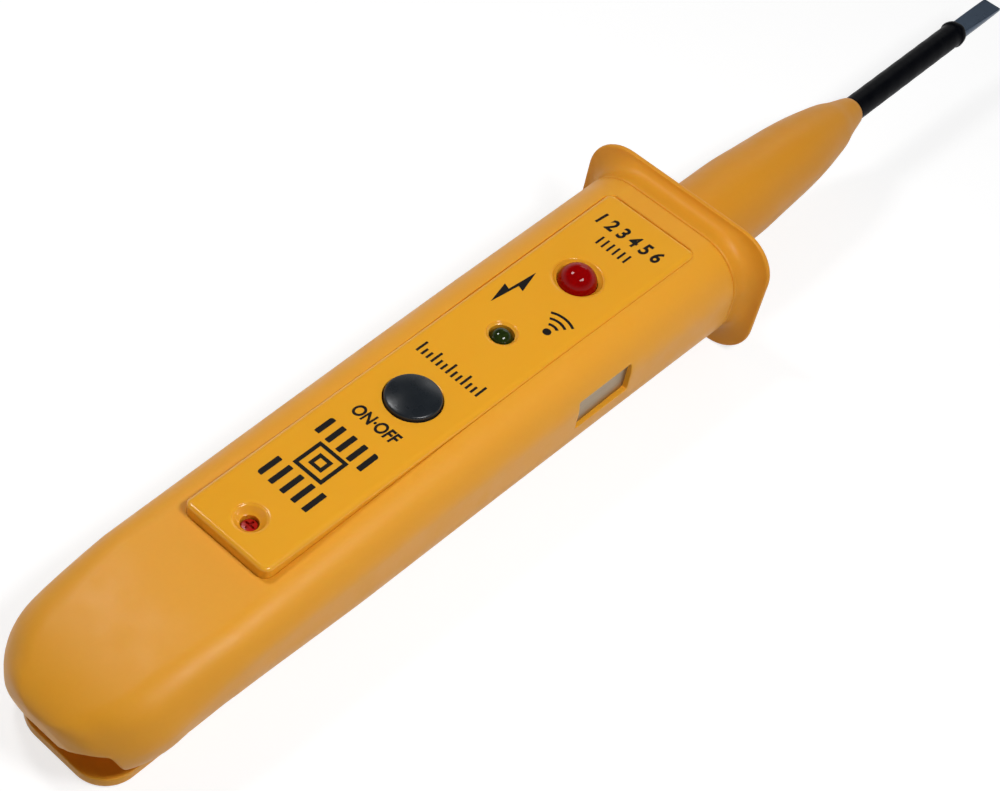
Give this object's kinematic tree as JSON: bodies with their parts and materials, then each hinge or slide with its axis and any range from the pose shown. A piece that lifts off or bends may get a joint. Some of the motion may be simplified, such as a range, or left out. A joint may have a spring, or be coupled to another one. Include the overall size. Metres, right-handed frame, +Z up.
{
  "type": "voltage detector",
  "caption": "Hand-held voltage detector: domed plastic handle, face plate with push button and two lamps, finger guard, tapered nose and an insulated flat screwdriver blade.",
  "frame": {"origin": "middle of the whole length, at the level of the guard rim's lowest point", "axes": "+X from the butt to the blade tip, +Z up out of the face, +Y to the left"},
  "size_m": [0.1893, 0.0298, 0.02],
  "materials": {
    "body_plastic": "satin moulded",
    "face_plastic": "semi-gloss moulded, printed in near-black",
    "button_plastic": "satin moulded",
    "red_lens": "clear tinted, polished",
    "green_lens": "clear tinted, polished",
    "blade_steel": "ground and plated",
    "sleeve_plastic": "shrunk tube",
    "plated_metal": "nickel plated",
    "screw_steel": "head under red locking lacquer",
    "tinned_metal": "tinned",
    "cell_steel": "polished",
    "board_laminate": "lacquered glass laminate",
    "chip_plastic": "moulded",
    "switch_plastic": "moulded",
    "plunger_plastic": "moulded",
    "capacitor_sleeve": "shrunk sleeve",
    "resistor_lacquer": "lacquered ceramic",
    "diode_glass": "tinted glass bead"
  },
  "bodies": {
    "body": {"handle_shell": "body_plastic", "guard_nose": "body_plastic", "face_plate": "face_plastic", "blade": "blade_steel", "blade_sleeve": "sleeve_plastic", "blade_retainer": "plated_metal", "housing_screw": "screw_steel", "switch_body": "switch_plastic", "switch_pins": "tinned_metal", "red_led": "red_lens", "red_led_leads": "tinned_metal", "green_led": "green_lens", "green_led_leads": "tinned_metal", "circuit_board": "board_laminate", "board_screws": "plated_metal", "detector_ic": "chip_plastic", "ic_legs": "tinned_metal", "capacitor": "capacitor_sleeve", "resistors": "resistor_lacquer", "diodes": "diode_glass", "transistor": "chip_plastic", "transistor_legs": "tinned_metal", "touch_plate": "plated_metal", "safety_resistor": "resistor_lacquer", "contact_spring": "plated_metal", "front_contact": "plated_metal", "button_cells": "cell_steel", "battery_contacts": "plated_metal"},
    "power_button": {"button_cap": "button_plastic", "switch_plunger": "plunger_plastic"},
    "battery_cover": {"battery_cover": "body_plastic", "cover_bridge": "plated_metal"}
  },
  "joints": [
    {"name": "button_press", "type": "slide", "parent": "body", "child": "power_button", "axis": [0, 0, -1], "range_m": [0, 0.0006], "stiffness_N_per_m": 2000},
    {"name": "cover_open", "type": "hinge", "parent": "body", "child": "battery_cover", "pos_m": [-0.05995, 0, 0.0043], "axis": [0, -1, 0], "range_deg": [0, 20]}
  ]
}
